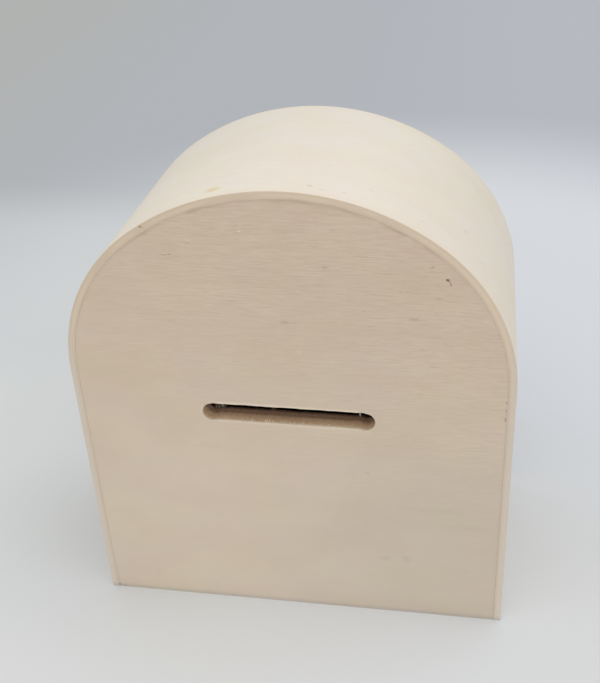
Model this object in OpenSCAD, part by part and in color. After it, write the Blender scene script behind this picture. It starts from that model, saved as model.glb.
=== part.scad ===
// Wooden money box: two arch-shaped plywood panels, one thin strip of plywood bent over them from
// floor to floor, a base board between them, and a soft stopper in the hole of the base board.
// Millimetres. +Z is up, the front faces -Y, and the origin is the middle of the underside.

/* [Box] */
// Width over the outsides of the bent band
body_w = 110; // [104:1:120]
// Height from the floor to the crown of the arch
body_h = 123; // [110:1:150]
// Depth, which is the width of the strip that the band is bent from
body_d = 60; // [58:1:90]
// Radius that the band is bent to at each shoulder, on its outside
shoulder_r = 46; // [40:1:51]
// Height of the two shoulders' centres above the crown's centre
centre_drop = 12; // [8:0.5:30]

/* [Boards] */
// Thickness of the bent plywood strip
band_t = 1.9; // [1.5:0.1:4]
// Thickness of the front and back panels
panel_t = 5.7; // [3:0.1:6]
// Distance that the band's edges stand out past the faces of the panels
band_proud = 0.3; // [0:0.1:1]
// Thickness of the base board
base_t = 4; // [3:0.5:8]
// Height of the base board's underside above the floor
base_lift = 3.5; // [3:0.5:10]
// Gap that the glue fills between two boards
glue_gap = 0.1; // [0.05:0.05:0.3]

/* [Coin slot] */
// Length of the slot over its round ends
slot_l = 43.5; // [35:0.5:60]
// Height of the slot's straight part
slot_h = 4.8; // [4.4:0.1:8]
// Height of the slot's middle above the floor
slot_z = 63.25; // [40:0.05:80]
// Diameter of the hole drilled at each end of the slot before it was sawn out
slot_drill_d = 5; // [4.5:0.1:8]
// Angle that the hand-sawn slot drops towards the right
slot_tilt = 0.6; // [0:0.1:2]

/* [Stopper] */
// Diameter of the hole in the base board that lets the coins out
hole_d = 35; // [30:1:36]
// Distance that the stopper's flange reaches past the rim of the hole
flange_lap = 3; // [2:0.5:3.5]
// Thickness of the flange
flange_t = 1.6; // [1:0.2:2.4]
// Distance that the plug reaches past the base board into the box
plug_reach = 6; // [5:0.5:10]
// Thickness of the plug's side wall, measured at its neck
plug_wall = 2.2; // [1.5:0.1:4]
// Thickness of the plug's closed top
plug_top_t = 2; // [1.5:0.1:3]
// Width of the slope round the plug's top, which leads it into the hole
plug_lead = 1.5; // [0.5:0.1:2]
// Radius of the section of each rib round the plug
rib_r = 0.8; // [0.6:0.1:1]
// Distance that each rib stands out from the neck
rib_h = 0.5; // [0.3:0.1:0.6]
// Distance between the middles of two ribs
rib_pitch = 2.6; // [2.2:0.1:3]
// Distance from the slope round the plug's top down to the middle of the first rib
rib_start = 1.5; // [1:0.1:2]
// Clearance between the ribs and the wall of the hole, with the rubber relaxed
plug_fit = 0.15; // [0.1:0.05:0.4]
// Clearance between the flange and the base board
seat_gap = 0.1; // [0.05:0.05:0.3]

/* [Hidden] */
$fn = 96;

lime_wood = [0.88, 0.80, 0.71];
black_rubber = [0.10, 0.10, 0.10];
past = 1;                     // how far a cut runs past the face that it leaves through

// The arch has three centres: one on the middle line for the crown, and one for each shoulder, with
// the curves meeting smoothly where the line through two centres leaves the arch.
half_w = body_w / 2;
shoulder_x = half_w - shoulder_r;
crown_r = shoulder_r + sqrt(pow(shoulder_x, 2) + pow(centre_drop, 2));
spring_z = body_h - crown_r + centre_drop;

inner_half_w = half_w - band_t;
panel_inset = band_t + glue_gap;
front_y = -body_d / 2 + band_proud;
inner_depth = body_d - 2 * (band_proud + panel_t);
base_w = 2 * (inner_half_w - glue_gap);
base_depth = inner_depth - 2 * glue_gap;

plug_r = hole_d / 2 - plug_fit;
neck_r = plug_r - rib_h;
hollow_r = neck_r - plug_wall;
flange_r = hole_d / 2 + flange_lap;

plug_h = base_t + plug_reach;
top_rib_z = plug_h - plug_lead - rib_start;
rib_count = 1 + floor((top_rib_z - 2 * rib_r) / rib_pitch);

// The arch's outline in the XZ plane, drawn in X and Y, inset from the outside of the band. The
// inset curves keep their centres, so that the band has the same thickness everywhere.
module arch_outline(inset, foot_z = 0) {
    translate([inset - half_w, foot_z])
        square([2 * (half_w - inset), spring_z - foot_z]);
    for (side = [-1, 1])
        intersection() {
            translate([side * shoulder_x, spring_z])
                circle(r = shoulder_r - inset);
            translate([side * (shoulder_x + crown_r / 2), spring_z + crown_r / 2])
                square(crown_r, center = true);
        }
    intersection() {
        translate([0, spring_z - centre_drop])
            circle(r = crown_r - inset);
        crown_sector();
    }
}

// The wedge of the crown's curve: its sides run from the crown's centre through the shoulders' centres.
module crown_sector() {
    reach = 2 * crown_r / centre_drop;
    polygon([
        [0, spring_z - centre_drop],
        [reach * shoulder_x, spring_z + (reach - 1) * centre_drop],
        [-reach * shoulder_x, spring_z + (reach - 1) * centre_drop]
    ]);
}

// Stands a drawing up, with its front face at y and its thickness towards the back.
module stand_up(y, thickness) {
    translate([0, y + thickness, 0])
        rotate([90, 0, 0])
            linear_extrude(height = thickness)
                children();
}

module bent_band() {
    color(lime_wood)
        stand_up(-body_d / 2, body_d)
            difference() {
                arch_outline(0);
                arch_outline(band_t, -past);
            }
}

module panel_board(y) {
    stand_up(y, panel_t)
        arch_outline(panel_inset);
}

// Two drilled ends, with their tops level with the straight cut that was sawn between them.
module slot_outline() {
    drill_x = (slot_l - slot_drill_d) / 2;
    translate([-drill_x, -slot_h / 2])
        square([2 * drill_x, slot_h]);
    for (side = [-1, 1])
        translate([side * drill_x, (slot_h - slot_drill_d) / 2])
            circle(d = slot_drill_d);
}

module front_panel() {
    color(lime_wood)
        difference() {
            panel_board(front_y);
            translate([0, 0, slot_z])
                rotate([0, slot_tilt, 0])
                    stand_up(front_y - past, panel_t + 2 * past)
                        slot_outline();
        }
}

module back_panel() {
    color(lime_wood)
        panel_board(-front_y - panel_t);
}

module base_board() {
    color(lime_wood)
        translate([0, 0, base_lift])
            difference() {
                translate([-base_w / 2, -base_depth / 2, 0])
                    cube([base_w, base_depth, base_t]);
                translate([0, 0, -past])
                    cylinder(d = hole_d, h = base_t + 2 * past);
            }
}

// Half of the stopper's section, with the base board's underside at Y = 0.
module stopper_section() {
    flange_top = -seat_gap;
    difference() {
        union() {
            polygon([
                [0, flange_top - flange_t / 2],
                [neck_r, flange_top - flange_t / 2],
                [neck_r, plug_h - plug_lead],
                [neck_r - plug_lead, plug_h],
                [0, plug_h]
            ]);
            translate([0, flange_top - flange_t])
                square([flange_r - flange_t / 2, flange_t]);
            translate([flange_r - flange_t / 2, flange_top - flange_t / 2])
                circle(d = flange_t);
            for (i = [0:rib_count - 1])
                translate([plug_r - rib_r, top_rib_z - i * rib_pitch])
                    circle(r = rib_r);
        }
        translate([-past, flange_top - flange_t - past])
            square([hollow_r + past, plug_h - plug_top_t - flange_top + flange_t + past]);
    }
}

// A cup of soft rubber with its mouth down: the hollow lets its ribbed side give in the hole.
module stopper() {
    color(black_rubber)
        translate([0, 0, base_lift])
            rotate_extrude()
                stopper_section();
}

bent_band();
front_panel();
back_panel();
base_board();
stopper();
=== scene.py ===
# %% [markdown]
# # A wooden money box
#
# The real box is glued up from five pieces. Two arch-shaped plywood panels close the front and the
# back, one thin strip of plywood is bent over them from floor to floor, a base board sits between
# them, and a rubber stopper fills the hole in the base board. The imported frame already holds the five
# pieces as plain solids. This lesson models each one again with the small things that the solids
# leave out: eased edges, a grain that follows the bend, the plies in each cut edge, and the fibres
# that the saw left in the coin slot. Everything is in metres, in the frame's own axes: +Z is up, and
# the front with the slot faces -Y.

# %% Load the frame
import math
import random

import bpy
from mathutils import Matrix, Vector


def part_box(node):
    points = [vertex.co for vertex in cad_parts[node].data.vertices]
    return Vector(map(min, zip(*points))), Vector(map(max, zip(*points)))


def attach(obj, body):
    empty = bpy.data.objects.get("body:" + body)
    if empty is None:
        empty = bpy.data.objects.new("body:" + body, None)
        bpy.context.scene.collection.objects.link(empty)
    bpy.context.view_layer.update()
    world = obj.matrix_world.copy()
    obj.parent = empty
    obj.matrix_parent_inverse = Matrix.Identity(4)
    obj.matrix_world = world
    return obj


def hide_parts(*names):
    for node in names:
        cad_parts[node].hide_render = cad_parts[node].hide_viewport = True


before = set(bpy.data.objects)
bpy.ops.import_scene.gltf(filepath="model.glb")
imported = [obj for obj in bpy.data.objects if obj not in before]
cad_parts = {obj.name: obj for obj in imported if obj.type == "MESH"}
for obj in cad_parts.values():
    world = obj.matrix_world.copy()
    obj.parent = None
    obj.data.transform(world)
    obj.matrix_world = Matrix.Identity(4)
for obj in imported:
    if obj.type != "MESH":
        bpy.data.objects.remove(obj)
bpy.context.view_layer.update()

print("nodes to dress:", sorted(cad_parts))

# %% [markdown]
# ## Sizes
#
# A woodworker would draw the arch with a compass from three centres: one on the middle line for the
# crown, and one for each shoulder. The pencil changes from one curve to the next on the line that
# runs through both centres, so the arch has no kink. Here the two centres are 9 mm apart across and
# 12 mm apart in height, so they lie 15 mm apart along that line, and the crown's radius is 15 mm more
# than a shoulder's. The outside sizes are read from the frame, and the rest is written down once, in
# millimetres. The height is rounded, because the frame's mesh has no vertex at the top of its curve.
#
# In the drawing each panel lies 0.3 mm behind the edges of the strip. On the real box the sandpaper has
# brought the strip's edges down to a quarter of that, so the finished panels are given 0.22 mm more.
# They also reach the strip itself, where the drawing leaves 0.1 mm for the glue.

# %% Sizes of the arch and of the boards
MM = 0.001
band_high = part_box("bent_band")[1]
HALF_WIDTH = band_high.x / MM
HALF_DEPTH = band_high.y / MM
HEIGHT = float(round(band_high.z / MM))
SHOULDER_R = 46.0
CENTRE_DROP = 12.0
SHOULDER_X = HALF_WIDTH - SHOULDER_R
CROWN_R = SHOULDER_R + math.hypot(SHOULDER_X, CENTRE_DROP)
CROWN_Z = HEIGHT - CROWN_R
SHOULDER_Z = CROWN_Z + CENTRE_DROP
TURN = math.atan2(SHOULDER_X, SHOULDER_Z - CROWN_Z)
BAND_T = 1.9
SANDED = 0.22
PANEL_T = 5.7 + SANDED
PANEL_INSET = BAND_T
FRONT_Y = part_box("front_panel")[0].y / MM - SANDED
BACK_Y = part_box("back_panel")[1].y / MM + SANDED
print(f"shoulder centres at x = +-{SHOULDER_X:.1f}, z = {SHOULDER_Z:.1f} mm")
print(f"crown centre at z = {CROWN_Z:.1f} mm, curves meet {math.degrees(TURN):.2f} degrees off upright")

# %% [markdown]
# ## Working by hand, in code
#
# Each piece starts as a simple shape and is then worked in edit mode, as it would be with the mouse.
# An operator changes whatever is selected, so every step first deselects everything and then picks
# its faces or edges by where they are. These few helpers do that picking. Two points count as level,
# or a point as on a line, when a few hundredths of a millimetre or less lie between them.

# %% Helpers that select
LEVEL, ON_LINE = 0.01, 0.05
WELD = 0.001 * MM


def mode(name):
    """Enters edit mode, or leaves it for object mode."""
    bpy.ops.object.mode_set(mode=name)


def deselect_all():
    """Leaves no object selected, so that an operator changes only what comes next."""
    bpy.ops.object.select_all(action="DESELECT")


def only(piece):
    """Makes one piece the only selected one, and the active one."""
    if bpy.context.object and bpy.context.object.mode == "EDIT":
        mode("OBJECT")
    deselect_all()
    piece.select_set(True)
    bpy.context.view_layer.objects.active = piece


def pick_none(piece, kind):
    """Enters edit mode to pick edges or faces, with nothing selected yet."""
    only(piece)
    mode("EDIT")
    bpy.ops.mesh.select_mode(type=kind)
    bpy.ops.mesh.select_all(action="DESELECT")


def pick_all(piece):
    """Enters edit mode with the whole piece selected."""
    only(piece)
    mode("EDIT")
    bpy.ops.mesh.select_all(action="SELECT")


def pick(piece, kind, test):
    """In edit mode, selects the edges or faces that pass a test, and counts them."""
    pick_none(piece, kind)
    mode("OBJECT")
    mesh = piece.data
    parts = {"EDGE": mesh.edges, "FACE": mesh.polygons}[kind]
    chosen = [part for part in parts if test(part)]
    for part in chosen:
        part.select = True
    mode("EDIT")
    return len(chosen)


def pick_sharp(piece, test):
    """In edit mode, selects the sharp edges whose two ends, in millimetres, pass a test."""
    pick_none(piece, "EDGE")
    bpy.ops.mesh.edges_select_sharp(sharpness=math.radians(30))
    mode("OBJECT")
    mesh = piece.data
    sharp = {edge.index for edge in mesh.edges if edge.select}
    ends = [mesh.vertices[i].co / MM for i in range(len(mesh.vertices))]
    return pick(piece, "EDGE", lambda edge: edge.index in sharp
                and test(*(ends[i] for i in edge.vertices)))


# %% Helpers that shape
def apply_place():
    """Puts the place, turn and size of the piece at hand into its mesh."""
    bpy.ops.object.transform_apply(location=True, rotation=True, scale=True)


def ease(width, segments=3):
    """Rounds the selected edges, as a few strokes of sandpaper do."""
    bpy.ops.mesh.bevel(offset=width * MM, segments=segments, profile=0.5, affect="EDGES",
                       clamp_overlap=True)
    mode("OBJECT")


def finish_mesh(piece, smooth_angle=25):
    """Closes the seams, points every face outwards and smooths the curved ones."""
    pick_all(piece)
    bpy.ops.mesh.remove_doubles(threshold=WELD)
    bpy.ops.mesh.normals_make_consistent(inside=False)
    mode("OBJECT")
    bpy.ops.object.shade_smooth_by_angle(angle=math.radians(smooth_angle))
    print(f"{piece.name}: {len(piece.data.vertices)} vertices, {len(piece.data.polygons)} faces")


def add_block(name, low, high):
    """A block between two corners in millimetres, with its place in its mesh."""
    deselect_all()
    middle = [(a + b) / 2 * MM for a, b in zip(low, high)]
    size = [(b - a) * MM for a, b in zip(low, high)]
    bpy.ops.mesh.primitive_cube_add(size=1, location=middle, scale=size)
    block = bpy.context.object
    block.name = block.data.name = name
    apply_place()
    return block


# %% [markdown]
# ## The bent band
#
# The real strip is thin plywood, steamed or kerfed until it bends. In Blender it could be a curve
# with a thickness, or a bent array of slats. The spin operator is closer to the real thing: it takes
# the end of a straight leg and swings it round the compass centres, one after the other. Each curve
# is then a true arc, and the strip keeps its thickness all the way.

# %% Swing the strip over the arch
SHOULDER_STEPS, CROWN_STEPS = 60, 40


def swing(centre_x, centre_z, angle, steps):
    """Extrudes the selected end clockwise round a compass centre."""
    bpy.ops.mesh.spin(steps=steps, angle=-angle, center=(centre_x * MM, 0, centre_z * MM),
                      axis=(0, 1, 0))


def swing_over_arch():
    """Swings the end of the left leg round the three centres, to the top of the right leg."""
    shoulder_turn = math.pi / 2 - TURN
    swing(-SHOULDER_X, SHOULDER_Z, shoulder_turn, SHOULDER_STEPS)
    swing(0, CROWN_Z, 2 * TURN, CROWN_STEPS)
    swing(SHOULDER_X, SHOULDER_Z, shoulder_turn, SHOULDER_STEPS)


bent_strip = add_block("bent_strip", (-HALF_WIDTH, -HALF_DEPTH, 0),
                       (-HALF_WIDTH + BAND_T, HALF_DEPTH, SHOULDER_Z))
pick(bent_strip, "FACE", lambda face: face.normal.z > 0.9)
swing_over_arch()
bpy.ops.mesh.extrude_region_move(TRANSFORM_OT_translate={"value": (0, 0, -SHOULDER_Z * MM)})
mode("OBJECT")
print("the strip reaches", max(v.co.z for v in bent_strip.data.vertices) / MM, "mm up")

# %% [markdown]
# Sandpaper has rounded the outer edges of the strip, and taken a little off the inner ones, so that a
# hair-thin groove follows the joint. Two bevels do this. To tell the edges apart, a helper says how deep
# a point lies below the outside of the arch, and how far along the strip it is. The same two numbers
# carry the wood grain later.

# %% Measure along and into the strip, then ease its edges
def along_and_depth(x, z):
    """How far a point is from the crown along the strip, and how deep it lies, in millimetres."""
    middle_r = CROWN_R - BAND_T / 2
    middle_shoulder_r = SHOULDER_R - BAND_T / 2
    side = abs(x)
    if side * (SHOULDER_Z - CROWN_Z) <= SHOULDER_X * (z - CROWN_Z):
        return (math.copysign(middle_r * math.atan2(side, z - CROWN_Z), x),
                CROWN_R - math.hypot(side, z - CROWN_Z))
    rise = max(z - SHOULDER_Z, 0)
    turned = math.atan2(side - SHOULDER_X, rise) - TURN
    along = middle_r * TURN + middle_shoulder_r * turned + max(SHOULDER_Z - z, 0)
    return math.copysign(along, x), SHOULDER_R - math.hypot(side - SHOULDER_X, rise)


def runs_at_depth(depth):
    """A test for edges that run along the strip at one depth."""
    return lambda a, b: (abs(a.y - b.y) < LEVEL
                         and all(abs(along_and_depth(p.x, p.z)[1] - depth) < ON_LINE for p in (a, b)))


OUTER_EASE, INNER_EASE, FOOT_EASE = 0.25, 0.04, 0.12
print(pick_sharp(bent_strip, runs_at_depth(0)), "outer edges eased")
ease(OUTER_EASE, segments=4)
print(pick_sharp(bent_strip, runs_at_depth(BAND_T)), "inner edges eased")
ease(INNER_EASE)
print(pick_sharp(bent_strip, lambda a, b: max(a.z, b.z) < LEVEL), "foot edges eased")
ease(FOOT_EASE, segments=2)
finish_mesh(bent_strip)

# %% [markdown]
# The grain of the strip runs along it, over the arch. A pattern on plain coordinates would cut
# through the bend like a saw, so each vertex stores its place on the strip as if the strip were still
# flat: along, across and into the wood. The material reads that instead of the object's coordinates.

# %% Store the flat place of every vertex
unrolled = bent_strip.data.attributes.new("unrolled", "FLOAT_VECTOR", "POINT")
for vertex in bent_strip.data.vertices:
    x, y, z = vertex.co / MM
    along, depth = along_and_depth(x, z)
    unrolled.data[vertex.index].vector = (along, y, depth)
print("the flat strip is", round(2 * max(d.vector.x for d in unrolled.data), 1), "mm long")

# %% [markdown]
# ## The two panels
#
# The front and back panels are the same arch, cut a little smaller so that they fit inside the bent
# strip. Here the outline is drawn as a pencil line: one vertex is pushed up the left leg, swung over
# the arch and pushed down the right leg. The line is filled and pulled to the panel's thickness. A
# bisect down the middle then splits each face in two. A face can't go round a hole, so this gives
# the coin slot an edge to be cut across.

# %% Draw an outline and pull it to a board
def start_line(name, x, y, z):
    """A new piece that is one loose vertex, ready to be drawn on."""
    deselect_all()
    bpy.ops.mesh.primitive_plane_add(size=MM, location=(x * MM, y * MM, z * MM))
    line = bpy.context.object
    line.name = line.data.name = name
    apply_place()
    mode("EDIT")
    bpy.ops.mesh.select_mode(type="VERT")
    bpy.ops.mesh.merge(type="CENTER")
    return line


def draw(x, y, z):
    """Draws a straight line from the last vertex, by a step in millimetres."""
    bpy.ops.mesh.extrude_vertices_move(TRANSFORM_OT_translate={"value": (x * MM, y * MM, z * MM)})


def fill_and_pull(thickness):
    """Closes the drawn line, fills it and pulls the face backwards into a board."""
    bpy.ops.mesh.select_all(action="SELECT")
    bpy.ops.mesh.remove_doubles(threshold=WELD)
    bpy.ops.mesh.edge_face_add()
    bpy.ops.mesh.extrude_region_move(TRANSFORM_OT_translate={"value": (0, thickness * MM, 0)})
    bpy.ops.mesh.select_all(action="SELECT")
    bpy.ops.mesh.normals_make_consistent(inside=False)
    mode("OBJECT")


def arch_board(name, y):
    """An arch-shaped board whose front face is at y."""
    half = HALF_WIDTH - PANEL_INSET
    board = start_line(name, -half, y, 0)
    draw(0, 0, SHOULDER_Z)
    swing_over_arch()
    draw(0, 0, -SHOULDER_Z)
    fill_and_pull(PANEL_T)
    pick_all(board)
    bpy.ops.mesh.bisect(plane_co=(0, 0, 0), plane_no=(1, 0, 0), threshold=WELD)
    mode("OBJECT")
    return board


front_board = arch_board("front_board", FRONT_Y)
back_board = arch_board("back_board", BACK_Y - PANEL_T)
print("front board:", len(front_board.data.vertices), "vertices round its two faces")

# %% [markdown]
# The coin slot was made by hand: a hole was drilled at each end, and the wood between the holes was
# sawn out along a straight line. The drill was a little wider than the cut, so each end shows a round
# shoulder below the straight edge, and the whole slot runs slightly downhill. A second drawn outline
# makes the cutter, which runs a millimetre past both faces, and a Boolean modifier cuts it out. A saw
# in a hand wanders, so the two long lines are drawn in short steps that stray a few hundredths of a
# millimetre from straight.

# %% Draw the cutter of the coin slot
SLOT_Z, SLOT_HALF_H = 63.44, 2.43
DRILL_X, DRILL_R, DRILL_DROP = 19.25, 2.5, 0.15
SLOT_TILT = math.radians(0.6)
SAW_STEPS, SAW_STRAY, DRILL_STEPS = 34, 0.07, 56
PAST = 1.0
drill_z = SLOT_Z + SLOT_HALF_H - DRILL_R - DRILL_DROP
meet_angle = math.asin((SLOT_HALF_H - (SLOT_Z - drill_z)) / DRILL_R)
drill_turn = math.pi * 1.5 - meet_angle
saw_hand = random.Random(4)


def draw_sawn(length):
    """Draws a line along x in short steps that stray and come back."""
    stray = 0.0
    for i in range(SAW_STEPS):
        new_stray = saw_hand.uniform(-SAW_STRAY, SAW_STRAY) if i < SAW_STEPS - 1 else 0.0
        draw(length / SAW_STEPS, 0, new_stray - stray)
        stray = new_stray


cutter = start_line("slot_cutter", -DRILL_X, FRONT_Y - PAST, SLOT_Z + SLOT_HALF_H)
draw_sawn(2 * DRILL_X)
draw(0, 0, -DRILL_DROP)
swing(DRILL_X, drill_z, drill_turn, DRILL_STEPS)
draw_sawn(-2 * (DRILL_X - DRILL_R * math.cos(meet_angle)))
swing(-DRILL_X, drill_z, drill_turn, DRILL_STEPS)
fill_and_pull(PANEL_T + 2 * PAST)
finish_mesh(cutter)
pick_all(cutter)
bpy.ops.transform.rotate(value=-SLOT_TILT, orient_axis="Y", center_override=(0, 0, SLOT_Z * MM))
mode("OBJECT")
right_half = [v.co.z for v in cutter.data.vertices if v.co.x > 0.0]
print("the slot's right end is lowest at", round(min(right_half) / MM, 2), "mm")


# %% Cut the coin slot
def cut(piece, tool):
    """Cuts a tool's shape out of a piece, and throws the tool away."""
    only(piece)
    modifier = piece.modifiers.new("cut", "BOOLEAN")
    modifier.operation = "DIFFERENCE"
    modifier.solver = "EXACT"
    modifier.object = tool
    bpy.ops.object.modifier_apply(modifier="cut")
    bpy.data.objects.remove(tool)


cut(front_board, cutter)
print("front board with its slot:", len(front_board.data.vertices), "vertices")

# %% [markdown]
# Sandpaper takes the sharpness off the outline of each panel, and a little off the slot. Only the
# edges that lie in the two faces are eased, and the feet stay nearly sharp, because the box stands
# on them.

# %% Ease the panels
PANEL_EASE, SLOT_EASE = 0.04, 0.2


def in_one_face(a, b):
    return abs(a.y - b.y) < LEVEL


def on_outline(p):
    return abs(along_and_depth(p.x, p.z)[1] - PANEL_INSET) < ON_LINE and p.z > LEVEL


for board in (front_board, back_board):
    count = pick_sharp(board, lambda a, b: in_one_face(a, b) and (on_outline(a) or on_outline(b))
                       and (on_outline(a) and on_outline(b) or abs(a.x - b.x) < LEVEL))
    ease(PANEL_EASE)
    feet = pick_sharp(board, lambda a, b: max(a.z, b.z) < LEVEL and in_one_face(a, b))
    ease(FOOT_EASE, segments=2)
    print(board.name, "has", count, "outline edges and", feet, "foot edges eased")


def near_slot(p):
    return abs(p.x) < DRILL_X + 2 * DRILL_R and abs(p.z - SLOT_Z) < 2 * DRILL_R


print(pick_sharp(front_board, lambda a, b: in_one_face(a, b) and near_slot(a) and near_slot(b)),
      "slot edges eased")
ease(SLOT_EASE)
finish_mesh(front_board)
finish_mesh(back_board)

# %% [markdown]
# ## The base board
#
# The base board is a plain rectangle with one big hole, cut with a hole saw. It is glued in between
# the panels and the legs of the strip, a little above the floor, so that the stopper's flange fits
# under it and the box still stands flat. A block and a Boolean cut follow the same two steps.

# %% Make the base board
base_low, base_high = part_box("base_board")
HOLE_R, BASE_EASE = 17.5, 0.2
CIRCLE_STEPS = 128
base_plate = add_block("base_plate", base_low / MM, base_high / MM)
deselect_all()
bpy.ops.mesh.primitive_cylinder_add(vertices=CIRCLE_STEPS, radius=HOLE_R * MM, depth=20 * MM,
                                    location=(0, 0, (base_low.z + base_high.z) / 2))
hole_saw = bpy.context.object
apply_place()
cut(base_plate, hole_saw)
print(pick_sharp(base_plate, lambda a, b: abs(a.z - b.z) < LEVEL), "edges of the base eased")
ease(BASE_EASE)
finish_mesh(base_plate)

# %% [markdown]
# ## The rubber stopper
#
# The stopper is a moulded cup with its mouth down: a flange that stops against the base board, and a
# ribbed plug above it. Anything round like this is quickest as half a section, spun once round its
# axis. The section is drawn with the same pencil, from the middle of the closed top, over the ribs
# and the flange and up into the hollow. Moulded rubber has no sharp corners, so the section turns
# each corner with a small arc.

# %% Draw half of the stopper's section
def arc_points(centre, radius, start, end, steps):
    """Points of an arc in the section, from one angle to another in degrees."""
    return [(centre[0] + radius * math.cos(math.radians(start + (end - start) * i / steps)),
             centre[1] + radius * math.sin(math.radians(start + (end - start) * i / steps)))
            for i in range(steps + 1)]


NECK_R, HOLLOW_R, FLANGE_R = 16.85, 14.65, 20.5
FLANGE_LOW, FLANGE_HIGH, PLUG_TOP, HOLLOW_TOP = 1.8, 3.4, 13.5, 11.5
LEAD, RIB_R, RIB_CENTRE_R = 1.5, 0.8, 16.55
RIB_HEIGHTS = (10.5, 7.9, 5.3)
rib_reach = math.degrees(math.acos((NECK_R - RIB_CENTRE_R) / RIB_R))
rim_r = (FLANGE_HIGH - FLANGE_LOW) / 2
CORNER_R, MOUTH_R, FILLET_R, SLOPE_SHIFT = 0.6, 0.35, 0.3, 0.25

section = [(0, PLUG_TOP)]
section += arc_points((NECK_R - LEAD - SLOPE_SHIFT, PLUG_TOP - CORNER_R), CORNER_R, 90, 45, 4)
section += arc_points((NECK_R - CORNER_R, PLUG_TOP - LEAD - SLOPE_SHIFT), CORNER_R, 45, 0, 4)
for height in RIB_HEIGHTS:
    section += arc_points((RIB_CENTRE_R, height), RIB_R, rib_reach, -rib_reach, 12)
section += arc_points((NECK_R + FILLET_R, FLANGE_HIGH + FILLET_R), FILLET_R, 180, 270, 4)
section += arc_points((FLANGE_R - rim_r, (FLANGE_HIGH + FLANGE_LOW) / 2), rim_r, 90, -90, 12)
section += arc_points((HOLLOW_R + MOUTH_R, FLANGE_LOW + MOUTH_R), MOUTH_R, 270, 180, 4)
section += arc_points((HOLLOW_R - CORNER_R, HOLLOW_TOP - CORNER_R), CORNER_R, 0, 90, 5)
section += [(0, HOLLOW_TOP)]
print("the section has", len(section), "points")

# %% Spin the section
rubber_stopper = start_line("rubber_stopper", section[0][0], 0, section[0][1])
for (r0, z0), (r1, z1) in zip(section, section[1:]):
    draw(r1 - r0, 0, z1 - z0)
bpy.ops.mesh.select_all(action="SELECT")
bpy.ops.mesh.spin(steps=CIRCLE_STEPS, angle=2 * math.pi, center=(0, 0, 0), axis=(0, 0, 1))
mode("OBJECT")
finish_mesh(rubber_stopper, smooth_angle=40)

# %% [markdown]
# ## Fibres in the coin slot
#
# A saw tears soft plywood as it leaves the wood, and a few pale fibres stay standing along the slot.
# They are far too fine for the solid model, but they are what makes the slot look sawn. Each one is a
# thin cone of five sides, leaned over a little at random. Most stand on the lower edge, some hang from
# the upper one, and a few longer ones hang at each of its ends. Deep in the left end, where the saw
# started, thicker splinters of the last ply still stand. The random numbers are seeded, so the fibres
# are the same on every run. A hair system could grow them too, but cones are plain mesh, which every
# program can read.

# %% Stand the fibres along the slot
BELOW, ABOVE = -1, 1
chance = random.Random(11)
fibres = []


def add_fibre(x, y, z, length, thickness, lean_x, lean_y):
    """A thin cone whose foot is at a point in millimetres, leaned over by two angles."""
    bpy.ops.mesh.primitive_cone_add(vertices=5, radius1=thickness / 2 * MM, radius2=thickness * 0.1 * MM,
                                    depth=length * MM, location=(0, 0, 0))
    fibre = bpy.context.object
    for vertex in fibre.data.vertices:
        vertex.co.z += length / 2 * MM
    fibre.rotation_euler = (lean_x, lean_y, 0)
    fibre.location = (x * MM, y * MM, z * MM)
    apply_place()
    return fibre


def slot_edge_z(x, side):
    """The height of the slot's straight lower (-1) or upper (+1) edge at x."""
    return SLOT_Z + side * SLOT_HALF_H - x * math.tan(SLOT_TILT)


def stand_fibres(count, random_x, side, sunk, inwards, length, thickness, lean, sway):
    """Stands fibres on one edge of the slot, with their feet sunk in the wood. A pair of numbers
    is the smallest and the largest."""
    upright = math.pi if side == ABOVE else 0.0
    for i in range(count):
        x, y = random_x(), FRONT_Y + chance.uniform(*inwards)
        fibres.append(add_fibre(x, y, slot_edge_z(x, side) + side * sunk, chance.uniform(*length),
                                chance.uniform(*thickness), upright + chance.uniform(*lean),
                                chance.uniform(-sway, sway)))


stand_fibres(84, lambda: chance.triangular(-17.0, 17.0, 3.0), BELOW, sunk=0.15, inwards=(0.3, 1.1),
             length=(0.3, 0.75), thickness=(0.12, 0.24), lean=(0.0, 0.5), sway=0.25)
stand_fibres(18, lambda: chance.triangular(-18.5, 18.5, -15.5), ABOVE, sunk=0.12, inwards=(0.5, 2.5),
             length=(0.6, 1.6), thickness=(0.12, 0.24), lean=(-0.3, 0.3), sway=0.5)
for middle in (-16.4, 18.2):
    stand_fibres(3, lambda: middle + chance.uniform(-0.45, 0.45), ABOVE, sunk=0.12, inwards=(0.4, 0.9),
                 length=(1.1, 1.7), thickness=(0.18, 0.28), lean=(-0.2, 0.2), sway=0.3)
stand_fibres(14, lambda: chance.uniform(-19.8, -17.2), BELOW, sunk=0.2, inwards=(4.8, 5.6),
             length=(1.2, 1.9), thickness=(0.5, 0.9), lean=(-0.1, 0.1), sway=0.2)
deselect_all()
for fibre in fibres:
    fibre.select_set(True)
bpy.context.view_layer.objects.active = fibres[0]
bpy.ops.object.join()
slot_fibres = bpy.context.object
slot_fibres.name = slot_fibres.data.name = "slot_fibres"
print(len(fibres), "fibres stand in the slot,", len(slot_fibres.data.polygons), "faces")

# %% [markdown]
# ## Materials as sums
#
# A finish is a sum: a base colour, plus grain, plus a stain, minus wear. Shader nodes can add, but a
# long chain of them is hard to read. The small class below stands for one wire of a material. Sums
# that are written with wires add the Math nodes that work them out, and the board that holds the
# wires adds every other kind of node through one method.

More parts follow.
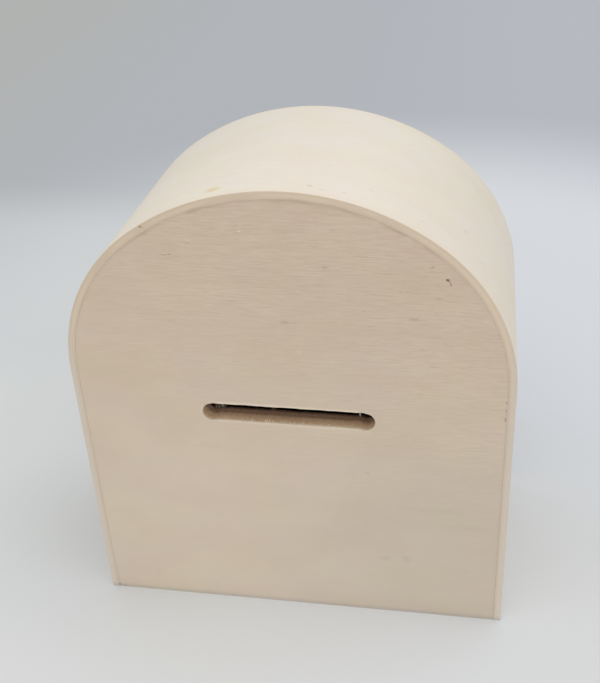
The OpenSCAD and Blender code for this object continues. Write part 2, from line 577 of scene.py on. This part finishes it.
# %% Wires that Python can add up
class Wire:
    """One value of a material. A sum with wires in it adds the nodes that work it out."""

    def __init__(self, board, socket):
        self.board, self.socket = board, socket

    def __add__(self, other):
        return self.board.sum("ADD", self, other)

    def __sub__(self, other):
        return self.board.sum("SUBTRACT", self, other)

    def __rsub__(self, other):
        return self.board.sum("SUBTRACT", other, self)

    def __mul__(self, other):
        return self.board.sum("MULTIPLY", self, other)

    def __abs__(self):
        return self.board.sum("ABSOLUTE", self)

    __radd__, __rmul__ = __add__, __mul__


# %% The board that holds them
class NodeBoard:
    """The nodes of one material, or of the world."""

    def __init__(self, owner):
        owner.use_nodes = True
        self.owner, self.tree = owner, owner.node_tree
        self.tree.nodes.clear()

    def node(self, kind, settings, sockets, output=0):
        """Adds a node, makes its settings, fills its sockets and returns one output."""
        node = self.tree.nodes.new(kind)
        for name, value in settings.items():
            setattr(node, name, value)
        for name, value in sockets.items():
            if isinstance(value, Wire):
                self.tree.links.new(value.socket, node.inputs[name])
            else:
                node.inputs[name].default_value = value
        return Wire(self, node.outputs[output]) if node.outputs else None

    def sum(self, operation, *values):
        return self.node("ShaderNodeMath", {"operation": operation}, dict(enumerate(values)))

    def vector(self, operation, *values):
        return self.node("ShaderNodeVectorMath", {"operation": operation}, dict(enumerate(values)),
                         output="Value" if operation == "LENGTH" else "Vector")

    def scaled(self, place, factor):
        return self.node("ShaderNodeVectorMath", {"operation": "SCALE"}, {0: place, "Scale": factor})

    def axes(self, place):
        """The three numbers of a place."""
        first = self.node("ShaderNodeSeparateXYZ", {}, {0: place})
        return [Wire(self, socket) for socket in first.socket.node.outputs]

    def join(self, x, y, z):
        return self.node("ShaderNodeCombineXYZ", {}, {0: x, 1: y, 2: z})

    def blend(self, factor, first, second, way="MIX"):
        """A colour between two colours. A Mix node has sockets for each kind of value, all with the
        same names, so its colours go by number: 6 and 7 are the inputs, and 2 is the output."""
        return self.node("ShaderNodeMix", {"data_type": "RGBA", "blend_type": way},
                         {0: factor, 6: first, 7: second}, output=2)

    def tinted(self, factor, colour, tint):
        """A colour under a see-through tint, as strong as the factor. Tints serve for real stains and for
        painted shade.
        """
        return self.blend(factor, colour, tint, way="MULTIPLY")

    def step(self, value, low, high):
        """Goes smoothly from 0 to 1 while a value goes from low to high."""
        return self.node("ShaderNodeMapRange", {"interpolation_type": "SMOOTHSTEP"},
                         {"Value": value, "From Min": low, "From Max": high})

    def positive(self, value):
        """A value, or 0 where it is below 0."""
        return self.sum("MAXIMUM", value, 0.0)

    def length(self, x, y):
        """How long a step is that goes x one way and y the other."""
        return self.vector("LENGTH", self.join(x, y, 0.0))

    def noise(self, place, size, detail, shift, output=0):
        """Soft noise whose lumps have a size in millimetres along each axis."""
        place = self.vector("MULTIPLY_ADD", place, [1 / s for s in size], (shift, shift, shift))
        return self.node("ShaderNodeTexNoise", {}, {"Vector": place, "Scale": 1.0, "Detail": detail,
                                                    "Roughness": 0.55}, output)

    def wander(self, place, size, detail, shift):
        """Noise that can move a place: it is as often below 0 as above."""
        return self.vector("SUBTRACT", self.noise(place, size, detail, shift, "Color"), (0.5, 0.5, 0.5))

    def patches(self, place, size, detail, shift, low, high):
        """Patches of noise: 0 where the noise is low, and 1 where it is high."""
        return self.step(self.noise(place, size, detail, shift), low, high)

    def finish(self, shader):
        self.node("ShaderNodeOutputMaterial", {}, {0: shader})
        print(self.owner.name, "has", len(self.tree.nodes), "nodes")


def new_board(name):
    return NodeBoard(bpy.data.materials.new(name))


def object_place(board):
    """The place on a piece in millimetres, in the frame's own axes."""
    return board.scaled(board.node("ShaderNodeTexCoord", {}, {}, output="Object"), 1 / MM)


# %% [markdown]
# ## Plywood
#
# Plywood is a stack of thin sheets with the grain of each sheet across the one below. All of it can
# come from one solid pattern, which is cut by whatever surface the piece has: a face shows long fine
# ripples, and a cut edge shows pale plies with a browner core between them. The pattern takes a place
# in millimetres, along the grain, across it and into the wood, so the same function serves the
# panels, the base board and the unrolled strip. A set of tones colours it.

# %% Tones of the wood
def tone(red, green, blue):
    """A colour as a socket takes it."""
    return (red, green, blue, 1.0)


PANEL_TONES = {"light": tone(0.593, 0.514, 0.420), "warm": tone(0.577, 0.494, 0.400),
               "deep": tone(0.520, 0.432, 0.335), "pore": tone(0.400, 0.320, 0.240),
               "pale": tone(0.690, 0.615, 0.515), "core": tone(0.50, 0.40, 0.30)}
BAND_TONES = {"light": tone(0.808, 0.757, 0.662), "warm": tone(0.798, 0.738, 0.628),
              "deep": tone(0.720, 0.650, 0.540), "pore": tone(0.580, 0.500, 0.410),
              "pale": tone(0.860, 0.810, 0.730), "core": tone(0.60, 0.49, 0.38)}
PINK_STAIN, YELLOW_STAIN = tone(0.998, 0.972, 0.975), tone(0.995, 0.985, 0.950)
# Painted shade: the floor darkens the lowest two millimetres of each board, and this tint paints that.
FOOT_SHADE = tone(0.80, 0.84, 0.90)
print(len(PANEL_TONES), "tones for each kind of board")

# %% [markdown]
# The pattern is a sum of noises that are stretched along the grain. Each has the size of one thing
# in the wood: clouds of colour as big as a thumb, ripples less than a millimetre apart, hairs finer
# than that, and a few dark and pale flecks. The place is bent a little by a slow noise first, because
# grain is never ruled with a straight edge. The ripples are also the relief, so they catch the light.
# The core is the browner ply, between two depths in the wood.

# %% The plywood pattern
def plywood(board, place, core_depths, tones, shift, share):
    """The colour and the relief of plywood at a place. The share is how strongly the grain shows."""
    slow = board.wander(place, (16, 7, 16), 2, shift + 3.7)
    bent = board.vector("ADD", place, board.vector("MULTIPLY", slow, (0.0, 1.1, 0.0)))
    along, across, into = board.axes(place)

    cloud = board.patches(place, (24, 13, 24), 2, shift, 0.35, 0.65)
    flush = board.patches(place, (17, 12, 17), 1, shift + 71.3, 0.4, 0.6)
    growth = board.patches(bent, (80, 3.2, 3.2), 2, shift + 5.1, 0.4, 0.7)
    ripple = board.noise(bent, (4.6, 0.4, 0.4), 2, shift + 9.3)
    hair = board.noise(bent, (2.2, 0.18, 0.18), 2, shift + 14.9)
    pores = board.patches(bent, (4.0, 0.3, 0.3), 1, shift + 21.3, 0.66, 0.8)
    pale = board.patches(bent, (2.6, 0.3, 0.3), 1, shift + 33.9, 0.68, 0.8)

    face = board.blend(cloud, tones["light"], tones["warm"])
    face = board.tinted(flush, face, PINK_STAIN)
    face = board.tinted(1 - flush, face, YELLOW_STAIN)
    face = board.blend(growth * share * 0.3, face, tones["deep"])
    face = board.blend(board.step(ripple, 0.38, 0.66) * share, face, tones["deep"])
    face = board.blend(pores * share * 0.8, face, tones["pore"])
    face = board.blend(pale * share * 0.5, face, tones["pale"])

    top, bottom = core_depths
    waver = board.noise(place, (9, 9, 9), 1, shift + 50.1) * 0.2 - 0.1
    core = board.step(into + waver, top - 0.06, top + 0.06) \
        * (1 - board.step(into + waver, bottom - 0.06, bottom + 0.06))
    end = board.noise(board.join(across, along, into), (3.0, 0.3, 0.3), 3, shift + 41.3)
    inside = board.blend(board.step(end, 0.3, 0.7) * 0.5, tones["core"], tones["pore"])
    colour = board.blend(core, face, inside)
    lines = (ripple * 0.75 + hair * 0.2 - pores * 0.15 + pale * 0.1) * (share * 1.5 + 0.2)
    return colour, lines * (1 - core) + end * core * 0.7


# %% Helpers that finish a piece
BARE_WOOD = {"IOR": 1.4, "Specular IOR Level": 0.25, "Sheen Weight": 0.05, "Sheen Roughness": 0.5}


def coat(board, colour, relief, depth, roughness, sheen):
    """Finishes a material with a relief, whose depth is in millimetres, and a sheen."""
    bump = board.node("ShaderNodeBump", {}, {"Strength": 1.0, "Distance": depth * MM,
                                             "Height": relief})
    board.finish(board.node("ShaderNodeBsdfPrincipled", {}, {
        "Base Color": colour, "Roughness": roughness, "Normal": bump, **sheen}))


def foot(board, height):
    """The lowest two millimetres, which the floor shades."""
    return 1 - board.step(height, 0.1, 1.8)


def dress(piece, board, slot, body, *nodes):
    """Gives a piece its finish, and hands it to the frame."""
    piece.data.materials.clear()
    piece.data.materials.append(board.owner)
    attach(piece, body)
    if nodes:
        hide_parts(*nodes)


# %% [markdown]
# ## Marks
#
# Some marks belong to this one box, such as a dark fleck near the right shoulder and a spot of old
# glue on the crown. They could be painted on an image, but soft ovals listed by place and size need no
# image and stay sharp from close by. A little noise bends their outlines, so that none of them looks
# drawn.

# %% Soft marks
def marks(board, place, spots, raggedness=0.8):
    """How strongly a list of oval marks colours a place. A mark has a middle (x, y), half a width
    and half a height in millimetres, a turn in degrees and a strength."""
    ragged = board.scaled(board.wander(place, (0.9, 0.6, 0.9), 2, 3.3), raggedness)
    place = board.vector("ADD", place, ragged)
    total = 0.0
    for x, y, half_width, half_height, turn, strength in spots:
        own = board.node("ShaderNodeMapping", {"vector_type": "TEXTURE"}, {
            "Vector": place, "Location": (x, y, 0), "Rotation": (0, 0, math.radians(turn)),
            "Scale": (half_width, half_height, 1.0)})
        flat = board.vector("MULTIPLY", own, (1.0, 1.0, 0.0))
        mark = (1 - board.step(board.vector("LENGTH", flat), 0.3, 1.0)) * strength
        total = mark + total
    return board.sum("MINIMUM", total, 1.0)


# %% [markdown]
# ## The finish of the bent strip
#
# The strip reads the flat place that its vertices carry, so its grain runs over the arch. Its outer
# face is clean and nearly plain, with its right half painted a little darker as painted shade. Its two
# rims are cut edges: a little browner, palest in the middle, and toned down towards the joint, where
# glue and dust have settled. At the crown the joint is darker still, as painted shade under the
# strip's edge, and on the legs the rims are painted greyer towards the outside, as painted cool side
# light.

# %% Marks and tones of the strip
STRIP_CORE = (0.65, 1.35)
CROWN_STAINS = [(-14.7, -25.4, 2.5, 1.9, 8, 0.75), (-10.5, -27.3, 1.6, 0.6, 30, 0.25)]
STRIP_FLECKS = [(7.4, -25.4, 1.2, 0.5, -10, 0.45), (10.3, -26.3, 0.9, 0.35, -20, 0.3),
                (15.1, -25.5, 1.0, 0.4, 10, 0.35), (9.8, -11.6, 1.3, 0.5, 0, 0.2),
                (45.0, -12.3, 0.9, 0.9, 0, 0.25), (-2.9, -20.4, 1.2, 0.4, 5, 0.15),
                (2.0, -6.3, 0.8, 0.5, 20, 0.2), (20.6, -20.0, 1.4, 0.4, -8, 0.2),
                (33.1, -23.5, 1.2, 0.5, 10, 0.2), (51.5, -18.8, 1.1, 0.7, 40, 0.2)]
RIM_SPECKS = [(-32.7, 0.5, 0.4, 0.35, 0, 0.8), (-32.3, 0.95, 0.3, 0.3, 0, 0.4)]
RIM_LIGHT, RIM_PALE = tone(0.590, 0.482, 0.366), tone(0.636, 0.522, 0.398)
# On the legs the rim is painted greyer and more neutral than at the crown: painted cool side light.
RIM_LEG, RIM_SIDE_LIGHT = tone(0.550, 0.466, 0.374), tone(0.578, 0.506, 0.424)
print(len(CROWN_STAINS + STRIP_FLECKS + RIM_SPECKS), "marks on the strip")

# %% Colour the strip's outer face
board = new_board("bent_plywood")
place = board.node("ShaderNodeAttribute", {"attribute_name": "unrolled"}, {}, output="Vector")
along, across, into = board.axes(place)
colour, relief = plywood(board, place, STRIP_CORE, BAND_TONES, 0.0, 0.22)
edge, from_crown = abs(across), abs(along)
mottle = board.patches(place, (1.4, 0.8, 1.4), 2, 17.0, 0.6, 0.75) \
    * board.patches(place, (22, 14, 22), 1, 27.0, 0.45, 0.65)
# The tint that grows along the strip towards the right is painted shade: the right half is a little
# darker.
for strength, tint in ((mottle * 0.35, tone(0.90, 0.89, 0.86)),
                        (marks(board, place, CROWN_STAINS), tone(0.88, 0.79, 0.52)),
                        (marks(board, place, STRIP_FLECKS), tone(0.62, 0.60, 0.50)),
                        (board.step(along, 12.0, 50.0), tone(0.945, 0.943, 0.932)),
                        (board.step(edge, HALF_DEPTH - 3.0, HALF_DEPTH - 0.3) * 0.6,
                         tone(1.0, 0.965, 0.935))):
    colour = board.tinted(strength, colour, tint)
print("the strip's face takes", len(board.tree.nodes), "nodes")

# %% Colour the strip's rims
rim = board.step(edge, HALF_DEPTH - 0.25, HALF_DEPTH - 0.05)
legs = board.step(from_crown, 55.0, 90.0)
crown = 1 - board.step(from_crown, 12.0, 36.0)
right = board.step(along, 25.0, 50.0)
left = 1 - board.step(along, -26.0, -8.0)
middle = board.step(into, 0.4, 0.8) * (1 - board.step(into, 1.2, 1.6)) * (1 - legs + legs * right * 0.5)
rim_colour = board.blend(legs, RIM_LIGHT, RIM_LEG)
bright = board.sum("MAXIMUM", board.patches(place, (14, 5, 5), 1, 64.0, 0.35, 0.6), right)
rim_colour = board.blend(middle * bright, rim_colour, RIM_PALE)
rim_colour = board.tinted(left * (1 - legs), rim_colour, tone(0.955, 0.955, 0.95))
# The outer part of the legs' rims is painted greyer: painted cool side light on the rounded edge.
rim_colour = board.blend(legs * (1 - board.step(into, 0.8, 1.7)) * 0.9, rim_colour, RIM_SIDE_LIGHT)
# Glue and dust darken the rim next to the joint. The extra weight at the crown is painted shade under the
# strip's edge.
settled_dust_and_shade = board.step(into, 1.3, 1.75) * board.patches(place, (7, 7, 1.5), 2, 61.0, 0.35, 0.7)
rim_colour = board.tinted(settled_dust_and_shade * (crown * 0.9 + 0.1), rim_colour, tone(0.87, 0.85, 0.82))
colour = board.blend(rim, colour, rim_colour)
# Painted shade from the floor darkens the strip's lowest two millimetres.
colour = board.tinted(foot(board, board.axes(object_place(board))[2]), colour, FOOT_SHADE)
rim_place = board.join(along, into, 0.0)
colour = board.tinted(marks(board, rim_place, RIM_SPECKS, 0.3) * rim, colour, tone(0.28, 0.20, 0.15))
coat(board, colour, relief, 0.10, 0.62, BARE_WOOD)
dress(bent_strip, board, "bent_plywood", "box", "bent_band")

# %% [markdown]
# ## The finish of the panels
#
# On the panels the grain runs from side to side. It shows most in the upper half, where the sheet
# was cut closest to a ripple in the log. Near the joint the wood is a little darker with glue and dust,
# and darker still at the crown, where shade is painted under the strip's edge, so the material
# has to know how far a place is from the arch. It works that out as the compass would: from the
# middle of the crown's circle, or of a shoulder's, or from the straight side.

# %% How far a place is inside the arch
def arch_depth(board, x, z):
    """How deep a place lies below the outside of the arch, in millimetres."""
    side = abs(x)
    rise = board.positive(z - SHOULDER_Z)
    shoulder = SHOULDER_R - board.length(side - SHOULDER_X, rise)
    crown = CROWN_R - board.length(x, z - CROWN_Z)
    under_crown = board.sum("LESS_THAN", side * (SHOULDER_Z - CROWN_Z), (z - CROWN_Z) * SHOULDER_X)
    return shoulder + (crown - shoulder) * under_crown


def slot_distance(board, x, z):
    """How far a place is from the cut of the slot, in millimetres; inside the cut it is below 0."""
    side = abs(x)
    end = board.step(side, DRILL_X - 2.0, DRILL_X - 0.8)
    above = z + x * math.tan(SLOT_TILT) - SLOT_Z + end * (SLOT_Z - drill_z)
    cut_half = end * (DRILL_R - SLOT_HALF_H) + SLOT_HALF_H
    return board.length(board.positive(side - DRILL_X), above) - cut_half


# %% [markdown]
# The slot has its own finish. The saw has lifted the fibres round it into a pale lip, and the cut
# itself is browner than the face: tan in the front ply, and dark in the glue and the plies behind.
#
# The marks on the front panel are a round fleck with a comma's tail, some grey dashes, a few faint
# smudges, most of them low on the right, some pale flecks, and specks of glue in the joint.

# %% Marks of the front panel
DARK_FLECKS = [(38.25, 102.75, 0.62, 0.45, -15, 0.9), (38.7, 102.2, 0.35, 0.4, 35, 0.4),
               (39.0, 101.6, 0.3, 0.55, 8, 0.5)]
GREY_DASHES = [(0.7, 90.25, 1.5, 0.5, 0, 0.55), (2.9, 90.2, 2.4, 0.25, 0, 0.3),
               (30.85, 92.4, 1.5, 0.45, 0, 0.65), (32.6, 92.2, 2.0, 0.22, 0, 0.3),
               (-26.5, 106.8, 2.2, 0.2, 1, 0.7), (-25.1, 107.0, 0.7, 0.3, 0, 0.5),
               (10.8, 104.9, 1.1, 0.35, 4, 0.5), (36.5, 98.0, 1.4, 0.3, -4, 0.5),
               (35.9, 88.0, 1.6, 0.22, 0, 0.45), (35.8, 79.9, 1.6, 0.22, 0, 0.45),
               (-20.7, 110.0, 0.8, 0.3, 0, 0.4), (-22.5, 113.85, 1.4, 0.25, 0, 0.3),
               (34.95, 105.8, 0.9, 0.3, 25, 0.55), (34.9, 104.7, 0.6, 0.3, 0, 0.4),
               (19.5, 94.1, 0.6, 0.3, 0, 0.45), (27.8, 99.2, 0.5, 0.4, 0, 0.4),
               (35.8, 94.1, 0.6, 0.3, 0, 0.4), (19.5, 47.3, 0.8, 0.5, 0, 0.35),
               (-17.5, 76.3, 2.2, 0.3, -3, 0.25), (25.9, 56.2, 2.2, 0.3, 0, 0.25)]
SMUDGES = [(24.0, 19.1, 2.3, 1.3, 5, 0.5), (29.7, 19.4, 1.7, 1.7, -20, 0.6),
           (44.9, 16.6, 1.6, 0.9, 0, 0.2), (36.9, 36.7, 12.0, 1.6, -3, 0.25),
           (43.9, 31.7, 9.0, 1.2, 2, 0.22), (-20.8, 52.6, 5.0, 1.5, 0, 0.2)]
PALE_FLECKS = [(-8.25, 113.2, 0.7, 0.3, 0, 0.6), (-20.5, 110.7, 0.7, 0.2, 0, 0.4),
               (47.2, 92.6, 0.5, 0.3, 0, 0.4), (-33.1, 59.7, 0.5, 0.3, 0, 0.35),
               (38.4, 103.5, 0.9, 0.25, 0, 0.3), (12.0, 79.8, 1.0, 2.4, 12, 0.12),
               (4.0, 82.3, 0.9, 1.8, -10, 0.12)]
JOINT_SPECKS = [(52.75, 71.0, 0.22, 0.6, 0, 0.5), (52.75, 68.7, 0.22, 0.8, 0, 0.4),
                (52.75, 66.1, 0.22, 1.0, 0, 0.55), (-52.8, 0.7, 0.5, 0.5, 0, 0.6),
                (-51.2, 0.4, 1.2, 0.35, 0, 0.3)]
print(len(DARK_FLECKS + GREY_DASHES + SMUDGES + PALE_FLECKS + JOINT_SPECKS), "marks on the front panel")

# %% The marks and the slot's finish
SLOT_LIP = tone(0.715, 0.620, 0.488)


def front_marks(board, place, x, z, colour):
    """Adds the front panel's own marks and the finish of its slot to a colour."""
    into = board.axes(place)[2]
    face = 1 - board.step(into, 0.1, 0.5)
    near = slot_distance(board, x, z)
    torn = board.noise(place, (1.2, 0.5, 1.2), 2, 44.0) * 0.8 + 0.4
    over = board.step(z, SLOT_Z - 1.0, SLOT_Z + 1.0) * 0.7 + 0.3
    straight = 1 - board.step(abs(x), DRILL_X - 2.5, DRILL_X - 0.5) * 0.8
    lip = (1 - board.step(near, 0.2, 0.95)) * face * torn * over * straight
    colour = board.blend(lip, colour, SLOT_LIP)
    wall = (1 - board.step(near, 0.5, 1.0)) * board.step(into, 0.35, 0.8)
    behind = board.step(into + board.noise(place, (1.2, 1.2, 1.2), 2, 52.0) * 1.8 - 0.9, 2.5, 3.9)
    sawn = board.patches(place, (0.5, 3.0, 1.2), 3, 57.0, 0.42, 0.7)
    torn_out = board.step(into + torn * 0.4, 5.1, 5.9)
    for strength, tint in ((wall, tone(0.96, 0.82, 0.67)),
                            (wall * behind, tone(0.90, 0.85, 0.88)),
                            (wall * sawn * 0.8, tone(0.80, 0.76, 0.74)),
                            (wall * torn_out, tone(0.50, 0.44, 0.42)),
                            (marks(board, place, SMUDGES), tone(0.86, 0.87, 0.80)),
                            (marks(board, place, GREY_DASHES), tone(0.70, 0.68, 0.65))):
        colour = board.tinted(strength, colour, tint)
    colour = board.blend(marks(board, place, PALE_FLECKS) * face, colour, PANEL_TONES["pale"])
    colour = board.tinted(marks(board, place, DARK_FLECKS, 0.4), colour, tone(0.24, 0.17, 0.13))
    return board.tinted(marks(board, place, JOINT_SPECKS, 0.3), colour, tone(0.34, 0.26, 0.20))


# %% Finish the panels
PANEL_CORE = (3.3, 4.3)
for piece, node_name, face_y, inward, shift in (
        (front_board, "front_panel", FRONT_Y, 1.0, 60.0), (back_board, "back_panel", BACK_Y, -1.0, 90.0)):
    board = new_board("panel_plywood_" + node_name.split("_")[0])
    x, y, z = board.axes(object_place(board))
    place = board.join(x, z, (y - face_y) * inward)
    share = board.step(z + x * 0.45, 30.0, 115.0) * 0.46 + 0.10
    colour, relief = plywood(board, place, PANEL_CORE, PANEL_TONES, shift, share)
    joint = 1 - board.step(arch_depth(board, x, z), PANEL_INSET + 0.2, PANEL_INSET + 1.1)
    dust_and_shade = board.patches(place, (7, 7, 7), 2, 61.0, 0.35, 0.7)
    crown = board.step(z, 98.0, 118.0) * 1.2 + 0.1
    low_right = board.step(x, -25.0, 35.0) * (1 - board.step(z, 25.0, 75.0))
    for strength, tint in ((board.step(z, 20.0, 110.0), tone(0.975, 0.942, 0.912)),
                            # Glue and dust in the joint, with painted shade at the crown under the
                            # strip's edge.
                            (joint * dust_and_shade * crown, tone(0.88, 0.865, 0.84)),
                            (low_right, tone(0.905, 0.915, 0.925)),
                            # Painted shade from the floor: the lowest 7 mm of the panel are a little
                            # darker.
                            (1 - board.step(z, 0.0, 7.0), tone(0.965, 0.955, 0.94)),
                            # Painted shade from the floor on the panel's lowest two millimetres.
                            (foot(board, z), FOOT_SHADE)):
        colour = board.tinted(strength, colour, tint)
    if piece is front_board:
        colour = front_marks(board, place, x, z, colour)
    coat(board, colour, relief, 0.16, 0.6, BARE_WOOD)
    dress(piece, board, "panel_plywood", "box", node_name)

# %% [markdown]
# ## The last finishes
#
# The fibres are bare wood too: pale where they stand in the light, and painted browner under the upper
# edge and dark deep in the slot, as painted shade. The base board has the same plywood as the panels,
# with a core of its own.
# The stopper is dull black rubber. One dark grey would do for it, but fingers leave a smear on rubber
# and its surface is gritty, so two noises vary its colour, its shine and its relief.

# %% Finish the slot's fibres
board = new_board("torn_fibre")
place = object_place(board)
y, z = board.axes(place)[1:]
# Painted shade: fibres above the slot's middle are browner, and those deep in the slot are nearly black.
over, deep = board.step(z, SLOT_Z - 0.5, SLOT_Z + 0.5), board.step(y, FRONT_Y + 1.5, FRONT_Y + 3.5)
colour = board.blend(over, tone(0.76, 0.68, 0.57), tone(0.36, 0.29, 0.23))
colour = board.blend(deep, colour, tone(0.13, 0.095, 0.07))
coat(board, colour, board.noise(place, (0.1, 0.1, 0.4), 2, 5.0), 0.01, 0.7, BARE_WOOD)
dress(slot_fibres, board, "panel_plywood", "box")

# %% Finish the base board
BASE_CORE = (1.3, 2.7)
board = new_board("base_plywood")
x, y, z = board.axes(object_place(board))
place = board.join(x, y, z - base_low.z / MM)
colour, relief = plywood(board, place, BASE_CORE, PANEL_TONES, 130.0, 0.5)
coat(board, colour, relief, 0.2, 0.7, BARE_WOOD)
dress(base_plate, board, "base_plywood", "box", "base_board")

# %% Finish the stopper
board = new_board("stopper_rubber")
place = object_place(board)
smear = board.noise(place, (6, 6, 6), 3, 2.0)
grit = board.noise(place, (0.25, 0.25, 0.25), 2, 8.0)
colour = board.blend(board.step(smear, 0.45, 0.75) * 0.5, tone(0.018, 0.018, 0.019),
                     tone(0.045, 0.044, 0.043))
coat(board, colour, grit + smear * 0.5, 0.02, board.step(smear, 0.2, 0.8) * 0.2 + 0.42, {"IOR": 1.5})
dress(rubber_stopper, board, "stopper_rubber", "stopper", "stopper")

# %% [markdown]
# ## The floor and the light
#
# The box stands on a big sheet of pale paper that curves out of focus into a greyer wall. Here it is
# one flat disc, whose colour fades from the paper's to the wall's at some distance from the box, and a
# little further back on the left. Seen from below the disc is clear and casts no shadow, so that the
# underside of the box shows.
#
# The light is a large soft one in front of the box and a little to its right, in a pale room. Lamps
# could do that, but a sky that is brighter on one side is softer than any lamp, and leaves no grain in
# the picture. So the sky is a sum: an even part, a part that grows overhead, and two parts that
# grow towards the front and the right. It is dark from just below the horizon, and a weak sun from
# below lights the underside, for anyone who turns the box over.

# %% Lay the floor
FLOOR_R = 40.0
# The paper is painted a little bluer on the right: painted cool light from that side.
PAPER_LEFT, PAPER_RIGHT = tone(0.697, 0.710, 0.706), tone(0.718, 0.741, 0.773)
WALL_LEFT, WALL_MIDDLE = tone(0.433, 0.439, 0.428), tone(0.435, 0.450, 0.472)
WALL_RIGHT = tone(0.463, 0.476, 0.513)
deselect_all()
bpy.ops.mesh.primitive_circle_add(vertices=96, radius=FLOOR_R, fill_type="NGON", location=(0, 0, 0))
floor = bpy.context.object
floor.name = "floor"
board = new_board("floor_paper")
x, y = board.axes(object_place(board))[:2]
far = board.step(board.length(x - 21.0, board.positive(y - 98.0)), 148.0, 318.0)
left_wall = (1 - board.step(x, -160.0, -80.0)) * 0.45
far = far + (board.step(y, 205.0, 280.0) - far) * left_wall
colour = board.blend(board.step(x, -120.0, 120.0), PAPER_LEFT, PAPER_RIGHT)
# Painted light and shade on the paper: lighter in front of the box, darker at its front right and at the
# back on the left, and a soft painted shadow left of the box.
for strength, tint in (
        (board.step(y, -60.0, 10.0), tone(0.942, 0.942, 0.942)),
        (board.step(x, 30.0, 80.0) * (1 - board.step(y, -30.0, 90.0)), tone(0.965, 0.952, 0.922)),
        ((1 - board.step(x, -130.0, -90.0)) * board.step(y, 66.0, 100.0), tone(0.956, 0.966, 0.978)),
        (1 - board.step(board.length(x + 67.0, y + 13.0), 0.0, 60.0), tone(0.924, 0.924, 0.924))):
    colour = board.tinted(strength, colour, tint)
wall = board.blend(board.step(x, -400.0, -130.0), WALL_LEFT, WALL_MIDDLE)
wall = board.blend(board.step(x, -130.0, 130.0), wall, WALL_RIGHT)
colour = board.blend(far, colour, wall)
paper = board.node("ShaderNodeBsdfDiffuse", {}, {"Color": colour})
clear = board.node("ShaderNodeBsdfTransparent", {}, {})
behind = board.node("ShaderNodeNewGeometry", {}, {}, output="Backfacing")
board.finish(board.node("ShaderNodeMixShader", {}, {0: behind, 1: paper, 2: clear}))
floor.data.materials.append(board.owner)
floor.visible_shadow = False

# %% Light the room
EVEN, OVERHEAD, FRONT, RIGHT = 0.42, 0.55, 0.77, 0.34
HORIZON = -0.025
world = bpy.data.worlds.new("soft_room")
bpy.context.scene.world = world
sky = NodeBoard(world)
east, north, up = sky.axes(sky.node("ShaderNodeTexCoord", {}, {}, output="Generated"))
strength = EVEN + sky.positive(up) * OVERHEAD + sky.positive(0.0 - north) * FRONT \
    + sky.positive(east) * RIGHT
above = sky.sum("GREATER_THAN", up, HORIZON)
colour = sky.blend(sky.step(north, -0.6, 1.0), tone(1.01, 1.0, 0.985), tone(0.96, 1.0, 1.06))
sky.node("ShaderNodeOutputWorld", {}, {0: sky.node("ShaderNodeBackground", {}, {
    "Color": colour, "Strength": above * strength})})
print("the sky has", len(sky.tree.nodes), "nodes")

# %% Light the underside
deselect_all()
bpy.ops.object.light_add(type="SUN", location=(0, 0, -0.5), rotation=(math.pi, 0, 0))
under_light = bpy.context.object
under_light.name = "under_light"
under_light.data.energy = 1.0
under_light.data.angle = math.radians(40)
print("the light from below has strength", under_light.data.energy)

# %% [markdown]
# ## The camera
#
# The camera stands a little to the right and looks down by about 31 degrees, from close by. It is
# held slightly askew, as a hand holds it.

# %% Place the camera
AZIMUTH, ELEVATION, ROLL = math.radians(11.47), math.radians(30.66), math.radians(-3.285)
TARGET = Vector((-1.875, 0, 67.13)) * MM
DISTANCE = 269.3 * MM
back = Vector((math.sin(AZIMUTH) * math.cos(ELEVATION), -math.cos(AZIMUTH) * math.cos(ELEVATION),
               math.sin(ELEVATION)))
level = back.to_track_quat("Z", "Y").to_matrix()
bpy.ops.object.camera_add(location=TARGET + back * DISTANCE)
camera = bpy.context.object
camera.rotation_mode = "QUATERNION"
camera.rotation_quaternion = (level @ Matrix.Rotation(ROLL, 3, "Z")).to_quaternion()
camera.data.lens = 52.29
camera.data.sensor_width = 36.0
camera.data.clip_start = 0.01
camera.data.clip_end = 100.0
bpy.context.scene.camera = camera
bpy.context.scene.view_settings.view_transform = "Standard"
print("the camera stands", round(DISTANCE / MM), "mm away")
